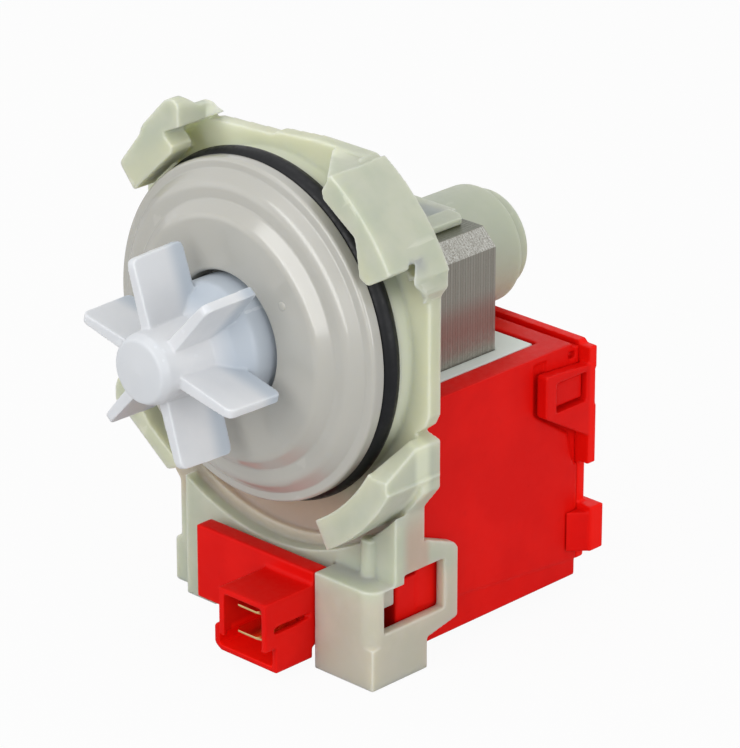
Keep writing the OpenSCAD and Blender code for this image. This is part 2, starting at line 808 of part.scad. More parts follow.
module dog_retainer() color(white)
    tube(cavity_r - seat, dog_hub_r - 0.2, retainer_y0, retainer_y0 + retainer_t);

module drive_dog() color(steel) difference() {
    union() {
        rod(dog_hub_r, dog_y0, dog_y1, small_fn);
        block([-dog_arm_w / 2, dog_y0, 0], [dog_arm_w / 2, dog_y1, dog_reach - buffer_wall * 0.6]);
    }
    rod(shaft_r, dog_y0 - 1, dog_y1 + 1, small_fn);
}

module dog_buffer() color(black) difference() {
    intersection() {
        block(
            [-dog_arm_w / 2 - buffer_wall, dog_y0, dog_hub_r + 0.4],
            [dog_arm_w / 2 + buffer_wall, dog_y1, dog_reach + 1]
        );
        rod(dog_reach, dog_y0 - 1, dog_y1 + 1);
    }
    block(
        [-dog_arm_w / 2 - seat, dog_y0 - 1, 0],
        [dog_arm_w / 2 + seat, dog_y1 + 1, dog_reach - buffer_wall * 0.6 + seat]
    );
}

module rotor_shaft() color(steel)
    spun([
        [0, shaft_y0],
        [shaft_r - 0.3, shaft_y0],
        [shaft_r, shaft_y0 + 0.3],
        [shaft_r, shaft_y1 - 0.3],
        [shaft_r - 0.3, shaft_y1],
        [0, shaft_y1]
    ], small_fn);

module rotor_magnet() color([0.25, 0.25, 0.27])
    tube(magnet_r, shaft_r, magnet_y0, magnet_y0 + magnet_len);

module magnet_sleeve() color([0.3, 0.3, 0.32]) difference() {
    union() {
        rod(sleeve_r, sleeve_y0, sleeve_y1);
        rod(washer_r, sleeve_y1 - eps, neck_y1, small_fn);
    }
    rod(magnet_r + seat, magnet_y0 - seat, magnet_y0 + magnet_len + seat);
    rod(shaft_r, sleeve_y0 - 1, neck_y1 + 1, small_fn);
}

module thrust_washers() color([0.85, 0.82, 0.7]) {
    tube(washer_r, shaft_r + run_gap, sleeve_y0 - 0.3 - washer_t, sleeve_y0 - 0.3, small_fn);
    tube(washer_r, shaft_r + run_gap, neck_y1 + 0.3, neck_y1 + 0.3 + washer_t, small_fn);
}

module bearing(y0, y1) color([0.35, 0.34, 0.33])
    tube(bearing_r, shaft_r + run_gap, y0, y1, small_fn);

module bearing_mount(y0, y1) color(black)
    tube(mount_r, bearing_r + seat, y0, y1, small_fn);

module shaft_seal() color(black) difference() {
    rod(mount_r, seal_y0, seal_y0 + seal_len, small_fn);
    spun([
        [0, seal_y0 - 1],
        [shaft_r + 2.6, seal_y0 - 1],
        [shaft_r + 2.6, seal_y0 + 0.4],
        [shaft_r + run_gap, seal_y0 + 1.4],
        [shaft_r + run_gap, seal_y0 + 1.9],
        [shaft_r + 1.8, seal_y0 + seal_len - 0.4],
        [shaft_r + 1.8, seal_y0 + seal_len + 1],
        [0, seal_y0 + seal_len + 1]
    ], small_fn);
}

// Right pole with its leg. The left one is its mirror image.
module pole_leg() color(steel) difference() {
    slab(core_y, core_y1) polygon([
        [pole_slot, pole_top],
        [core_half_w - pole_chamfer, pole_top],
        [core_half_w, pole_top - pole_chamfer],
        [core_half_w, -core_leg_z],
        [core_leg_in, -core_leg_z],
        [core_leg_in, -pole_low],
        [pole_slot, -pole_low]
    ]);
    rod(bore_r, core_y - 1, core_y1 + 1);
}

module core_yoke() color(steel)
    block([-core_half_w, core_y, yoke_top - yoke_h], [core_half_w, core_y1, yoke_top]);

// Right bobbin. Its collar fills the housing's opening beside the core.
module bobbin() color(white) {
    in = bobbin_in - bobbin_wall;
    out = bobbin_outer + bobbin_wall;
    front = core_y - 0.15 - bobbin_wall;
    rear = core_y1 + 0.15 + bobbin_wall;
    difference() {
        union() {
            block([in, front, bobbin_low], [out, rear, bobbin_top]);
            block(
                [in - bobbin_out, front - bobbin_out, bobbin_top - bobbin_flange],
                [out + bobbin_out, rear + bobbin_out, bobbin_top]
            );
            block(
                [in - bobbin_out, front - bobbin_out, bobbin_low],
                [out + bobbin_out, rear + bobbin_out, bobbin_low + bobbin_flange]
            );
            block(
                [core_leg_in + 0.2, opening_y0 + 0.3, bobbin_top - eps],
                [opening_half_w - 0.2, min(opening_y1, rear + bobbin_out) - 0.2, housing_top]
            );
        }
        block([bobbin_in, core_y - 0.15, bobbin_low - 1], [bobbin_outer, core_y1 + 0.15, 0]);
        // Room for the pole under the can
        block([-1, core_y - 0.3, bobbin_top], [bobbin_in + 0.6, core_y1 + 0.3, 0]);
    }
}

module winding() color(copper) {
    in = bobbin_in - bobbin_wall - seat;
    out = bobbin_outer + bobbin_wall + seat;
    front = core_y - 0.15 - bobbin_wall - seat;
    rear = core_y1 + 0.15 + bobbin_wall + seat;
    low = bobbin_low + bobbin_flange + 0.1;
    translate([0, 0, low]) linear_extrude(bobbin_top - bobbin_flange - 0.1 - low) difference() {
        polygon(softened([
            [in - winding_t, front - winding_t, 3.5],
            [out + winding_t, front - winding_t, 3.5],
            [out + winding_t, rear + winding_t, 3.5],
            [in - winding_t, rear + winding_t, 3.5]
        ], 5));
        polygon([[in, front], [out, front], [out, rear], [in, rear]]);
    }
}

// The plug socket in front of the housing
module socket_body() {
    // Back plate, and the neck that joins it to the box
    slab(back_y0, back_y1) polygon(softened([
        [back_x0, back_low, 0.4],
        [back_x1, back_low, 0],
        [back_x1, back_top, 0.4],
        [back_x0, back_top, 0.4]
    ]));
    block([back_x0 + 0.6, back_y1 - eps, back_low], [foot_x0 - 0.1, housing_y0 + 1, neck_top]);
    block([foot_x0 - 0.6, neck_y0, back_low], [side_x - loop_wall - 0.5, housing_y0 + 1, side_neck_top]);
    // Hood and tray
    block([hood_x0, back_y0 - hood_len, hood_low - eps], [hood_x1, back_y0 + eps, hood_top]);
    slab(back_y0 - tray_len, back_y0 + eps) polygon(softened([
        [hood_x0 - tray_side, hood_low - tray_h + 1, 0.5],
        [hood_x0 - tray_side + 1.6, hood_low - tray_h, 0.5],
        [hood_x1, hood_low - tray_h, 0.4],
        [hood_x1, hood_low, 0],
        [hood_x0 - tray_side, hood_low, 0.5]
    ]));
}

module coil_housing() color(red) difference() {
    union() {
        difference() {
            block([-housing_half_w, housing_y0, -housing_z], [housing_half_w, housing_y1, housing_top]);
            block(
                [-housing_half_w + housing_wall, housing_y0 + housing_wall, -housing_z + housing_wall],
                [housing_half_w - housing_wall, housing_y1 + 1, housing_top - housing_wall]
            );
            block([-opening_half_w, opening_y0, -pole_low], [opening_half_w, opening_y1, housing_top + 1]);
        }
        // Gutter under the can's rear end
        intersection() {
            rod(gutter_r + housing_wall, opening_y1, housing_y1);
            block([-housing_half_w, housing_y0, -pole_low - 4], [housing_half_w, housing_y1, housing_top - 0.2]);
        }
        socket_body();
        // Catches that fill the windows of the rear cover's snap loops
        for (s = [-1, 1]) slab(housing_y1 - latch_len + 3.5, housing_y1 - 1) polygon([
            [s * (housing_half_w - 0.5), housing_top - 5.2],
            [s * (housing_half_w - 0.5), housing_top - 10.4],
            [s * (housing_half_w + 1.5), housing_top - 10],
            [s * (housing_half_w + 1.5), housing_top - 5.6]
        ]);
    }
    rod(gutter_r, housing_y0 - 1, housing_y1 + 1);
    // Socket
    block(
        [hood_x0 + hood_wall, back_y0 - hood_len - 1, hood_low + 0.2],
        [hood_x1 - hood_wall, back_y0 - 0.6, hood_top - hood_wall]
    );
    // Keying groove in the hood's right wall
    block([hood_x1 - 0.7, back_y0 - tray_len, hood_low + 3.1], [hood_x1 + 1, back_y0 - 0.5, hood_low + 4]);
    // Slots for the tabs
    for (z = tab_z) block(
        [tab_x - tab_w / 2 - seat, back_y0 - 1, z - tab_t / 2 - seat],
        [tab_x + tab_w / 2 + seat, housing_y0 + housing_wall + 1, z + tab_t / 2 + seat]
    );
}

// A side of the rear cover: the snap loop and the lugs
module rear_side() {
    x0 = housing_half_w + 0.2;
    x1 = x0 + latch_wall;
    top = housing_top - 3;
    difference() {
        side_slab(x0, x1) polygon(softened([
            [rear_y1 - 0.4, top - 1, 0.3],
            [housing_y1 - latch_len, top, 0.5],
            [housing_y1 - latch_len, top - 8, 0.5],
            [rear_y1 - 0.4, top - 15.6, 0.3]
        ]));
        block([x0 - 1, housing_y1 - latch_len + 2.9, top - 7.7], [x1 + 1, housing_y1 - 0.6, top - 2]);
    }
    // Lugs: [lower end, upper end] as shares of the housing's height, how much further out and further back
    high = housing_z + housing_top;
    for (lug = [[0.107, 0.015, 0, 0], [0.51, 0.26, 0, 0], [0.88, 0.69, 0.9, 1.4]]) block(
        [housing_half_w - housing_wall, housing_y1 + seat, housing_top - high * lug[0]],
        [housing_half_w + lug_out + lug[2], rear_y1 + lug[3], housing_top - high * lug[1]]
    );
    // Ramp in front of the lowest lug
    translate([0, 0, housing_top - high * 0.88]) linear_extrude(high * 0.17) polygon([
        [x0, housing_y1 - 3.2],
        [housing_half_w + lug_out + 0.9, housing_y1 + 0.4],
        [housing_half_w + lug_out + 0.9, rear_y1],
        [x0, rear_y1]
    ]);
}

module rear_cover() color(red) {
    difference() {
        slab(housing_y1 + seat, rear_y1) polygon(softened([
            [-housing_half_w, -housing_z + rear_short, 0.6],
            [housing_half_w, -housing_z + rear_short, 0.6],
            [housing_half_w, housing_top, 0.6],
            [-housing_half_w, housing_top, 0.6]
        ]));
        rod(gutter_r, housing_y1 - 1, rear_y1 + 1);
    }
    // Rim that stands inside the housing
    difference() {
        block(
            [-housing_half_w + housing_wall + 0.1, housing_y1 - 2.5, -housing_z + rear_short],
            [housing_half_w - housing_wall - 0.1, housing_y1 + 0.5, housing_top - housing_wall - 0.1]
        );
        block(
            [-housing_half_w + housing_wall + 1.4, housing_y1 - 3.5, -housing_z + rear_short + 1.4],
            [housing_half_w - housing_wall - 1.4, housing_y1 + seat, housing_top - housing_wall - 1.4]
        );
        rod(gutter_r + housing_wall + 0.2, housing_y1 - 4, housing_y1 + seat);
        rod(gutter_r, housing_y1 - 1, rear_y1 + 1);
    }
    rear_side();
    mirror([1, 0, 0]) rear_side();
}

module terminal(z, rear) color(brass)
    translate([tab_x, 0, z - tab_t / 2]) linear_extrude(tab_t) polygon([
        [-tab_w / 2 + 0.9, tab_y0],
        [tab_w / 2 - 0.9, tab_y0],
        [tab_w / 2, tab_y0 + 1.2],
        [tab_w / 2, rear],
        [-tab_w / 2, rear],
        [-tab_w / 2, tab_y0 + 1.2]
    ]);

module thermal_protector() color([0.9, 0.88, 0.8])
    translate([-protector_len / 2, core_y1 + protector_r + seat, yoke_top - yoke_h / 2])
        rotate([0, 90, 0]) cylinder(r = protector_r, h = protector_len, $fn = small_fn);

// Wires from the tabs to the bobbins, and one across the back of the bobbins
module coil_leads() color(copper) {
    for (i = [0, 1]) {
        z = tab_z[i] + tab_t / 2;
        translate([tab_x + (i - 0.5) * tab_w * 0.57, tab_y1[i] - lead_r - 0.2, z])
            cylinder(r = lead_r, h = bobbin_low - z - 0.1, $fn = 24);
    }
    translate([-core_half_w / 2, core_y1 + bobbin_wall + bobbin_out + lead_r + 0.4, bobbin_low + lead_r + 0.1])
        rotate([0, 90, 0]) cylinder(r = lead_r, h = core_half_w, $fn = 24);
}

mounting_flange();
rotor_can();
front_cover();
sealing_ring();
impeller();
dog_retainer();
drive_dog();
dog_buffer();
rotor_shaft();
rotor_magnet();
magnet_sleeve();
thrust_washers();
bearing(front_bearing_y0, front_bearing_y1);  // front_bearing
bearing(rear_bearing_y0, rear_bearing_y1);  // rear_bearing
bearing_mount(front_bearing_y0, front_bearing_y1);  // front_bearing_mount
bearing_mount(rear_bearing_y0, rear_bearing_y1);  // rear_bearing_mount
shaft_seal();
mirror([1, 0, 0]) pole_leg();  // pole_leg_left
pole_leg();  // pole_leg_right
core_yoke();
mirror([1, 0, 0]) bobbin();  // bobbin_left
bobbin();  // bobbin_right
mirror([1, 0, 0]) winding();  // winding_left
winding();  // winding_right
coil_housing();
rear_cover();
terminal(tab_z[0], tab_y1[0]);  // terminal_upper
terminal(tab_z[1], tab_y1[1]);  // terminal_lower
thermal_protector();
coil_leads();
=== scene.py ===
import bpy
import json
import math
from mathutils import Matrix, Vector


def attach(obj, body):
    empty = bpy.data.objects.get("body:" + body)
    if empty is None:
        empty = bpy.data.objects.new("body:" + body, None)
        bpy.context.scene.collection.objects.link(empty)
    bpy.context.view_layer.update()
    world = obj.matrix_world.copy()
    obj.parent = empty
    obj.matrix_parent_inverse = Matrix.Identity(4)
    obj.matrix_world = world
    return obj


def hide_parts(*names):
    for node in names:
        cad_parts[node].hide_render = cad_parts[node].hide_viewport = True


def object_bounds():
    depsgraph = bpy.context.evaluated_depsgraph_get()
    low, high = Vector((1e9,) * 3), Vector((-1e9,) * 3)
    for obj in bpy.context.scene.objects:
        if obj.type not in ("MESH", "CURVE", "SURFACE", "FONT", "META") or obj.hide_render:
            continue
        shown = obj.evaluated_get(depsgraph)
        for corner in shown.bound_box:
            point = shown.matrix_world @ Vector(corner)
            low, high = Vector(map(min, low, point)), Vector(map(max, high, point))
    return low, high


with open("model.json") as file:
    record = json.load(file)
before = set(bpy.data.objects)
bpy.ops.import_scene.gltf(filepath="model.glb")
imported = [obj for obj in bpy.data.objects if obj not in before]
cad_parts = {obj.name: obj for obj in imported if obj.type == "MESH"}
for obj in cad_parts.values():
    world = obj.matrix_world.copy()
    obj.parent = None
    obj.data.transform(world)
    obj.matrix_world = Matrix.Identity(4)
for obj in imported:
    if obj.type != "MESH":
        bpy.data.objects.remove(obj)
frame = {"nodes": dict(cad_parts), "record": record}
cad_low, cad_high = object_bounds()
node = frame["nodes"]
MM = 0.001

# The camera that was fitted to the photograph: angles in degrees, lens in pixels, place in millimetres
TURN, LIFT = 44.02, 22.843
FOCAL_PX, LONG_SIDE_PX = 4611, 748
TO_THE_RIGHT, DOWN, BACK = 21.01, 7.62, 796.2

# Sides of a turned piece, steps in a round corner, and the most triangles of a moulded piece
TURNED_SIDES = 160
CORNER_STEPS = 6
MOST_TRIANGLES = 185000


# Camera, floor and lamps

def placed(right, up, back, place):
    """The matrix of a thing at a place, with its axes along the three directions given."""
    rows = [(right[i], up[i], back[i], place[i]) for i in range(3)]
    return Matrix((*rows, (0, 0, 0, 1)))


def aim_camera():
    """The photograph's view: round to the right and up, through a long lens."""
    turn, lift = math.radians(TURN), math.radians(LIFT)
    right = Vector((math.cos(turn), math.sin(turn), 0))
    level = Vector((-math.sin(turn), math.cos(turn), 0))
    upright = Vector((0, 0, 1))
    up = level * math.sin(lift) + upright * math.cos(lift)
    ahead = level * math.cos(lift) - upright * math.sin(lift)
    bpy.ops.object.camera_add()
    cam = bpy.context.object
    cam.name = "photo_camera"
    cam.matrix_world = placed(right, up, -ahead, (right * TO_THE_RIGHT - up * DOWN - ahead * BACK) * MM)
    cam.data.sensor_width = 36
    cam.data.lens = FOCAL_PX / LONG_SIDE_PX * cam.data.sensor_width
    cam.data.clip_start = 0.05
    cam.data.clip_end = 20
    bpy.context.scene.camera = cam


def lamp(name, place, size, watts, along=(0, 0, 1)):
    """An oval softbox aimed at the pump; along is the way its longer axis runs."""
    bpy.ops.object.light_add(type="AREA", location=place)
    obj = bpy.context.object
    obj.name = name
    obj.data.shape = "ELLIPSE"
    obj.data.size, obj.data.size_y = size
    obj.data.energy = watts
    pump = Vector((0, 0.02, 0))
    back = (Vector(place) - pump).normalized()
    side = Vector(along).cross(back).normalized()
    obj.matrix_world = placed(back.cross(side), -side, back, place)


def either(tree, a, b):
    """The larger of two values in a shader tree."""
    box = tree.nodes.new("ShaderNodeMath")
    box.operation = "MAXIMUM"
    tree.links.new(a, box.inputs[0])
    tree.links.new(b, box.inputs[1])
    return box.outputs[0]


def white_world(strength):
    """White where it is seen, mirrored or looked through, and of the strength given as a lamp."""
    world = bpy.data.worlds.new("studio")
    bpy.context.scene.world = world
    world.use_nodes = True
    tree = world.node_tree
    tree.nodes.clear()
    out = tree.nodes.new("ShaderNodeOutputWorld")
    back = tree.nodes.new("ShaderNodeBackground")
    path = tree.nodes.new("ShaderNodeLightPath")
    seen = either(tree, path.outputs["Is Camera Ray"], path.outputs["Is Transmission Ray"])
    seen = either(tree, seen, path.outputs["Is Glossy Ray"])
    level = tree.nodes.new("ShaderNodeMapRange")
    level.inputs["To Min"].default_value = strength
    level.inputs["To Max"].default_value = 1.0
    tree.links.new(seen, level.inputs["Value"])
    tree.links.new(level.outputs[0], back.inputs["Strength"])
    back.inputs["Color"].default_value = (1, 1, 1, 1)
    tree.links.new(back.outputs[0], out.inputs["Surface"])


def white_floor(height):
    """A matt floor that looks nearly as white as the world behind it."""
    bpy.ops.mesh.primitive_plane_add(size=6, location=(0, 0, height))
    floor = bpy.context.object
    floor.name = "floor"
    mat = bpy.data.materials.new("white_floor")
    mat.use_nodes = True
    tree = mat.node_tree
    tree.nodes.clear()
    out = tree.nodes.new("ShaderNodeOutputMaterial")
    matt = tree.nodes.new("ShaderNodeBsdfDiffuse")
    matt.inputs["Color"].default_value = (0.55, 0.55, 0.55, 1)
    glow = tree.nodes.new("ShaderNodeEmission")
    glow.inputs["Strength"].default_value = 1.0
    path = tree.nodes.new("ShaderNodeLightPath")
    share = tree.nodes.new("ShaderNodeMath")
    share.operation = "MULTIPLY"
    share.inputs[1].default_value = 0.95
    mix = tree.nodes.new("ShaderNodeMixShader")
    tree.links.new(path.outputs["Is Camera Ray"], share.inputs[0])
    tree.links.new(share.outputs[0], mix.inputs[0])
    tree.links.new(matt.outputs[0], mix.inputs[1])
    tree.links.new(glow.outputs[0], mix.inputs[2])
    tree.links.new(mix.outputs[0], out.inputs["Surface"])
    floor.data.materials.append(mat)


# Finishes

class Finish:
    """A material built up from a Principled shader, on the piece's own Object coordinates in metres."""

    def __init__(self, name, colour, rough, metal=0.0):
        self.mat = bpy.data.materials.new(name)
        self.mat.use_nodes = True
        self.tree = self.mat.node_tree
        self.skin = self.tree.nodes["Principled BSDF"]
        self.place = self.add("ShaderNodeTexCoord").outputs["Object"]
        self.set("Base Color", (*colour, 1))
        self.set("Roughness", rough)
        self.set("Metallic", metal)
        self.colour = None
        self.bump = None

    def set(self, name, value):
        self.skin.inputs[name].default_value = value

    def add(self, kind):
        return self.tree.nodes.new(kind)

    def link(self, a, b):
        self.tree.links.new(a, b)

    def stretched(self, scale):
        way = self.add("ShaderNodeMapping")
        way.inputs["Scale"].default_value = scale
        self.link(self.place, way.inputs["Vector"])
        return way.outputs[0]

    def noise(self, size_mm, detail, where=None):
        tex = self.add("ShaderNodeTexNoise")
        tex.inputs["Scale"].default_value = 1000 / size_mm
        tex.inputs["Detail"].default_value = detail
        tex.inputs["Roughness"].default_value = 0.55
        self.link(where or self.place, tex.inputs["Vector"])
        return tex.outputs["Fac"]

    def span(self, value, low, high, to_low=0.0, to_high=1.0):
        """Goes smoothly from to_low, where the value is low, to to_high, where it is high."""
        box = self.add("ShaderNodeMapRange")
        box.interpolation_type = "SMOOTHSTEP"
        box.inputs["From Min"].default_value = low
        box.inputs["From Max"].default_value = high
        box.inputs["To Min"].default_value = to_low
        box.inputs["To Max"].default_value = to_high
        self.link(value, box.inputs["Value"])
        return box.outputs[0]

    def maths(self, kind, a, b):
        box = self.add("ShaderNodeMath")
        box.operation = kind
        for i, v in enumerate((a, b)):
            if isinstance(v, (int, float)):
                box.inputs[i].default_value = v
            else:
                self.link(v, box.inputs[i])
        return box.outputs[0]

    def times(self, first, *others):
        """The product of masks and numbers."""
        for other in others:
            first = self.maths("MULTIPLY", first, other)
        return first

    def axis(self, which):
        box = self.add("ShaderNodeSeparateXYZ")
        self.link(self.place, box.inputs[0])
        return box.outputs[which]

    def rise(self, which, a, b):
        """Goes from 0 to 1 between two places along an axis, in millimetres."""
        return self.span(self.axis(which), a * MM, b * MM)

    def fall(self, which, a, b):
        """Goes from 1 to 0 between two places along an axis, in millimetres."""
        return self.span(self.axis(which), a * MM, b * MM, 1.0, 0.0)

    def zone(self, which, a, b, c, d):
        """Rises from a to b along an axis and falls again from c to d, in millimetres."""
        return self.times(self.rise(which, a, b), self.fall(which, c, d))

    def edges(self, low=0.51, high=0.58):
        """Strength on outer edges and corners, for a painted highlight where mouldings look paler in the
        light.
        """
        return self.span(self.add("ShaderNodeNewGeometry").outputs["Pointiness"], low, high)

    def tinted(self, colour, *masks):
        """Lays a colour over the base, as much as the masks together say."""
        mix = self.add("ShaderNodeMix")
        mix.data_type = "RGBA"
        self.link(self.times(*masks), mix.inputs["Factor"])
        if self.colour is None:
            mix.inputs["A"].default_value = self.skin.inputs["Base Color"].default_value[:]
        else:
            self.link(self.colour, mix.inputs["A"])
        mix.inputs["B"].default_value = (*colour, 1)
        self.colour = mix.outputs["Result"]
        self.link(self.colour, self.skin.inputs["Base Color"])

    def clouded(self, colour, size_mm, detail, low, high, most=1.0):
        """Lays a colour over the base in clouds of the size given."""
        self.tinted(colour, self.span(self.noise(size_mm, detail), low, high, 0.0, most))

    def roughened(self, size_mm, detail, low, high):
        """Lets the roughness wander between two values."""
        self.link(self.span(self.noise(size_mm, detail), 0.3, 0.7, low, high), self.skin.inputs["Roughness"])

    def bumped(self, height, depth_mm, strength):
        box = self.add("ShaderNodeBump")
        box.inputs["Distance"].default_value = depth_mm * MM
        box.inputs["Strength"].default_value = strength
        self.link(height, box.inputs["Height"])
        if self.bump is not None:
            self.link(self.bump, box.inputs["Normal"])
        self.bump = box.outputs[0]
        self.link(self.bump, self.skin.inputs["Normal"])

    def softened(self, weight, radius_mm, spread=(1.0, 0.85, 0.6)):
        """Lets light into the plastic, further for some colours than for others."""
        self.set("Subsurface Weight", weight)
        self.set("Subsurface Radius", spread)
        self.set("Subsurface Scale", radius_mm * MM)


def natural_plastic():
    """Milky moulding that lets some light through, greenish where thick and yellower where thin."""
    f = Finish("natural_plastic", (0.455, 0.49, 0.395), 0.42)
    f.set("Specular IOR Level", 0.35)
    f.clouded((0.51, 0.53, 0.435), 9, 3, 0.35, 0.7)
    f.clouded((0.41, 0.435, 0.335), 2.6, 4, 0.55, 0.8, 0.25)
    # Painted light: paler on the plate's face above and to the right, standing in for light that comes
    # through from behind
    upper = f.times(f.rise("Z", 8, 26), f.zone("X", -25, -21, 13, 19))
    right = f.times(f.zone("Z", -27, -23, 11, 14), f.rise("X", 26, 30))
    face = f.times(f.maths("MAXIMUM", upper, right), f.zone("Y", 5, 6.6, 8.2, 10))
    f.tinted((0.68, 0.71, 0.56), face, 0.85)
    # Painted light: palest in the recess behind the upper left hook, lightening the shade there as if light
    # came through the plastic
    recess = f.times(
        f.zone("X", -26, -22, -16, -4), f.zone("Z", 19, 23, 34, 37), f.zone("Y", 4.8, 5.6, 9, 12),
    )
    f.tinted((0.82, 0.86, 0.75), recess, 0.8)
    # Painted light: yellower and paler round the seal's seat, between two distances from the shaft, standing
    # in for light through the thin plastic there
    far = f.add("ShaderNodeVectorMath")
    far.operation = "LENGTH"
    f.link(f.stretched((1, 0, 1)), far.inputs[0])
    reach = far.outputs["Value"]
    painted_light_near_seal = f.times(f.span(reach, 30 * MM, 33 * MM), f.span(reach, 34 * MM, 38.5 * MM, 1.0, 0.0))
    f.tinted((0.62, 0.62, 0.43), painted_light_near_seal, 0.45)
    # Painted light: pink of the coil box, shining through the plate below the disc and through the foot
    below = f.times(f.zone("Z", -46, -38, -33, -26), f.zone("Y", 6, 8.5, 12, 14))
    f.tinted((0.50, 0.27, 0.21), below, 0.48)
    foot = f.times(f.zone("Z", -60, -58, -44, -40), f.zone("X", 13, 16, 40, 50))
    f.tinted((0.60, 0.47, 0.40), foot, 0.30)
    # Painted highlight on outer edges and corners
    f.tinted((0.70, 0.71, 0.62), f.edges(), 0.35)
    f.roughened(1.4, 4, 0.36, 0.5)
    f.bumped(f.noise(5, 2), 0.10, 0.5)
    f.bumped(f.noise(0.35, 3), 0.012, 0.5)
    # Painted shade: the can behind a little deeper, and the saddle's valley darker, where shade falls; the
    # can is also warmer towards its underside
    f.tinted((0.44, 0.475, 0.375), f.rise("Y", 18, 34), 0.6)
    f.tinted((0.50, 0.44, 0.28), f.rise("Y", 30, 40), f.fall("Z", -11, 2), 0.6)
    valley = f.times(f.zone("X", -11, -9.2, 9.2, 10), f.zone("Y", 12, 14, 38, 42))
    f.tinted((0.33, 0.38, 0.34), valley, 0.6)
    f.softened(0.9, 5.0, (1.0, 0.95, 0.7))
    return f.mat


def pearl_plastic():
    """Satin moulding with a pearly coat, a little clouded where the melt flowed outwards."""
    f = Finish("pearl_plastic", (0.425, 0.417, 0.378), 0.26)
    f.set("Specular IOR Level", 0.7)
    f.set("Coat Weight", 0.45)
    f.set("Coat Roughness", 0.14)
    f.clouded((0.45, 0.443, 0.405), 26, 1, 0.3, 0.75)
    # Painted highlight on outer edges and corners
    f.tinted((0.56, 0.55, 0.51), f.edges(0.52, 0.6), 0.3)
    f.roughened(6, 2, 0.22, 0.27)
    f.bumped(f.noise(12, 1), 0.05, 0.25)
    f.softened(0.25, 1.2)
    return f.mat


def white_plastic():
    """Bluish white of the wheel, greener on the coil formers."""
    f = Finish("white_plastic", (0.655, 0.67, 0.695), 0.36)
    f.clouded((0.69, 0.70, 0.72), 8, 3, 0.4, 0.7)
    # Painted shade: bluer and darker on the wheel's nose, and deeper in the bell, where the blades shade it
    f.tinted((0.575, 0.60, 0.63), f.zone("Y", -30, -28, -26, -21), 0.6)
    f.tinted((0.46, 0.51, 0.57), f.zone("Y", -15.5, -12, -5, 0))
    # The coil formers, which are all behind this place
    f.tinted((0.76, 0.82, 0.78), f.rise("Y", 12, 14))
    # Painted highlight on outer edges and corners
    f.tinted((0.76, 0.78, 0.81), f.edges(), 0.3)
    f.roughened(1.6, 4, 0.32, 0.44)
    f.bumped(f.noise(4, 2), 0.06, 0.4)
    f.bumped(f.noise(0.3, 3), 0.010, 0.5)
    f.softened(0.35, 1.4, (0.9, 0.95, 1.0))
    return f.mat


def red_plastic():
    f = Finish("red_plastic", (0.68, 0.004, 0.0025), 0.42)
    f.set("Specular IOR Level", 0.1)
    f.clouded((0.74, 0.006, 0.0035), 11, 3, 0.35, 0.7)
    f.clouded((0.56, 0.003, 0.002), 2.2, 4, 0.58, 0.85, 0.3)
    # Painted highlight on outer edges and corners
    f.tinted((0.82, 0.02, 0.008), f.edges(0.52, 0.6), 0.35)
    # The lid is a brighter red. Painted light: the trough is a brighter red too, for light thrown back and
    # forth in it
    f.tinted((0.92, 0.008, 0.003), f.rise("Y", 54, 55.2), 0.8)
    trough = f.times(
        f.zone("Z", -56.4, -56, -51.2, -50), f.zone("Y", -11, -10.6, -4, -1), f.zone("X", 1.9, 2.2, 15, 15.3),
    )
    f.tinted((1.0, 0.01, 0.004), trough, 0.85)
    f.roughened(1.2, 4, 0.33, 0.46)
    f.bumped(f.noise(6, 2), 0.10, 0.4)
    f.bumped(f.noise(0.4, 3), 0.016, 0.6)
    f.softened(0.12, 0.8, (1.0, 0.2, 0.1))
    return f.mat


def black_rubber():
    f = Finish("black_rubber", (0.006, 0.0065, 0.008), 0.42)
    f.set("Specular IOR Level", 0.25)
    f.clouded((0.014, 0.0145, 0.017), 3, 4, 0.5, 0.8, 0.5)
    f.roughened(0.9, 4, 0.34, 0.55)
    f.bumped(f.noise(0.45, 3), 0.02, 0.6)
    return f.mat


def stacked_sheets():
    """Cut edges of thin steel sheets: each its own shade, scored along the cut and bright on the chamfer."""
    f = Finish("stacked_sheets", (0.30, 0.288, 0.25), 0.38, 0.75)
    # One shade per sheet: coarse noise, squeezed along the stack to about the sheets' pitch
    shade = f.noise(1000, 0, where=f.stretched((1, 1550, 1)))
    f.tinted((0.345, 0.33, 0.292), f.span(shade, 0.3, 0.7))
    f.clouded((0.17, 0.16, 0.14), 0.8, 5, 0.6, 0.8, 0.4)
    fleck = f.noise(0.3, 4)
    f.tinted((0.42, 0.41, 0.38), f.span(fleck, 0.56, 0.74, 0.0, 0.35))
    # Torn, glittering edges on the chamfer; painted shade on the dark top, under the saddle; and a painted
    # reflection of the coil box's red on the flat side
    torn = f.noise(0.14, 2, where=f.stretched((0.5, 1, 0.5)))
    f.tinted((0.60, 0.60, 0.57), f.span(torn, 0.42, 0.60), f.zone("Z", 9.2, 9.4, 12.25, 12.36), 0.9)
    f.tinted((0.12, 0.13, 0.10), f.rise("Z", 12.36, 12.39), 0.8)
    f.tinted((0.30, 0.10, 0.085), f.zone("Z", -7.5, -4, -2.5, 2.5), 0.5)
    f.roughened(0.5, 4, 0.28, 0.5)
    scores = f.noise(0.16, 2, where=f.stretched((0.08, 1, 0.08)))
    f.bumped(scores, 0.02, 0.5)
    f.bumped(fleck, 0.02, 0.7)
    return f.mat


def turned_steel():
    f = Finish("turned_steel", (0.62, 0.61, 0.60), 0.22, 1.0)
    f.clouded((0.70, 0.70, 0.69), 1.2, 3, 0.4, 0.7)
    f.roughened(0.5, 4, 0.16, 0.32)
    f.bumped(f.noise(0.2, 2, where=f.stretched((1, 12, 1))), 0.006, 0.5)
    return f.mat


